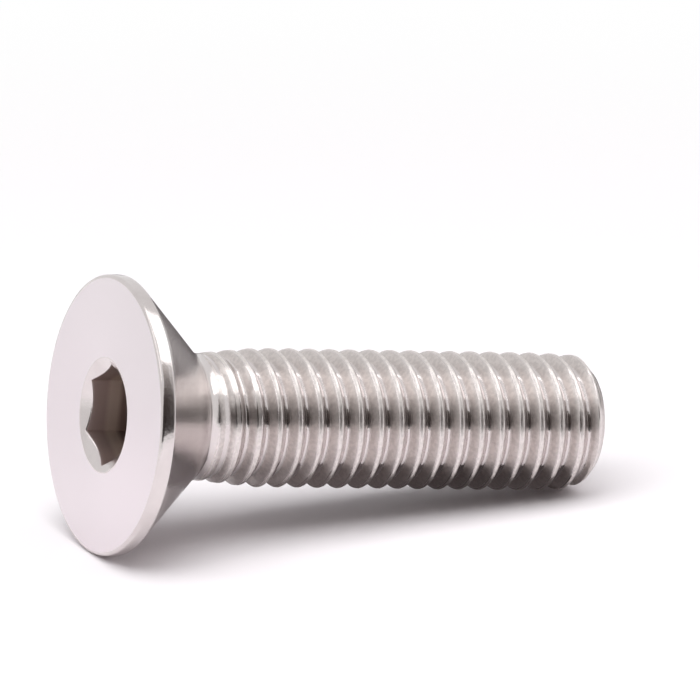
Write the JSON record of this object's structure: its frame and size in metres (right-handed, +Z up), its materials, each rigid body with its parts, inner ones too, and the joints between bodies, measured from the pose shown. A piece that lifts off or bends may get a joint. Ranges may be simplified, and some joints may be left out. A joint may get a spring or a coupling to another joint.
{
  "type": "countersunk socket screw",
  "caption": "Stainless countersunk machine screw with a hexagon socket in its flat head, a 90 degree cone below it and a rolled right-hand thread to a chamfered tip.",
  "frame": {"origin": "on the table, under the middle of the head's flat face, which the screw stands on", "axes": "+Z up, along the screw's axis from the head to the tip; +X and +Y across, with a corner of the hexagon 27 degrees round from +X towards +Y"},
  "size_m": [0.0156, 0.0156, 0.0297],
  "materials": {
    "stainless_steel": "bright as rolled, satin on the flat face"
  },
  "bodies": {
    "root": {"screw": "stainless_steel"}
  },
  "joints": []
}
